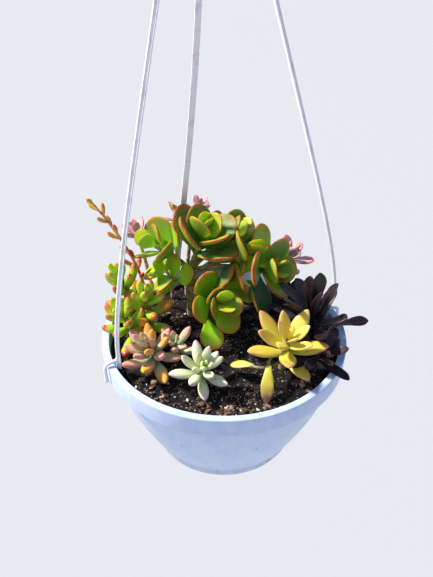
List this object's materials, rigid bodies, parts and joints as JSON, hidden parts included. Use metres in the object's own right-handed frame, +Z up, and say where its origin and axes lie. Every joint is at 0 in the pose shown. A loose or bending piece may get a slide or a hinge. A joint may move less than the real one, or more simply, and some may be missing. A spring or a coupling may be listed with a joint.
{
  "type": "succulent hanging basket",
  "caption": "Hanging pot on moulded strands with a hook, filled with soil and planted with a jade plant and low rosette succulents.",
  "frame": {"origin": "top of the hook's inner curve, where the basket hangs on a rail or nail", "axes": "+Z up; +X to the right as the picture shows it; -Y toward the viewer"},
  "size_m": [0.2835, 0.249, 0.7065],
  "materials": {
    "white_plastic": "moulded, satin",
    "potting_soil": "crumbly, matt",
    "jade_leaf": "fleshy leaf, waxy",
    "bean_leaf": "fleshy leaf, waxy",
    "blush_leaf": "fleshy leaf, bloomed",
    "frost_leaf": "fleshy leaf, bloomed",
    "golden_leaf": "fleshy leaf, waxy",
    "dark_leaf": "thin fleshy leaf, glossy",
    "pale_pink_leaf": "fleshy leaf, bloomed",
    "withered_leaf": "dry, papery"
  },
  "bodies": {
    "root": {"pot": "white_plastic", "hanger_hook": "white_plastic", "strand_left": "white_plastic", "strand_right": "white_plastic", "strand_rear": "white_plastic", "soil": "potting_soil", "jade_plant": "jade_leaf", "jelly_bean_front": "bean_leaf", "jelly_bean_middle": "bean_leaf", "jelly_bean_back": "bean_leaf", "jelly_bean_tall": "bean_leaf", "blush_rosette": "blush_leaf", "blush_offset": "blush_leaf", "frost_rosette": "frost_leaf", "golden_rosette": "golden_leaf", "aeonium_tall": "dark_leaf", "aeonium_middle": "dark_leaf", "aeonium_front": "dark_leaf", "ghost_plant": "pale_pink_leaf", "ghost_withered": "withered_leaf", "ghost_offset": "pale_pink_leaf", "paddle_plant": "pale_pink_leaf"}
  },
  "joints": []
}
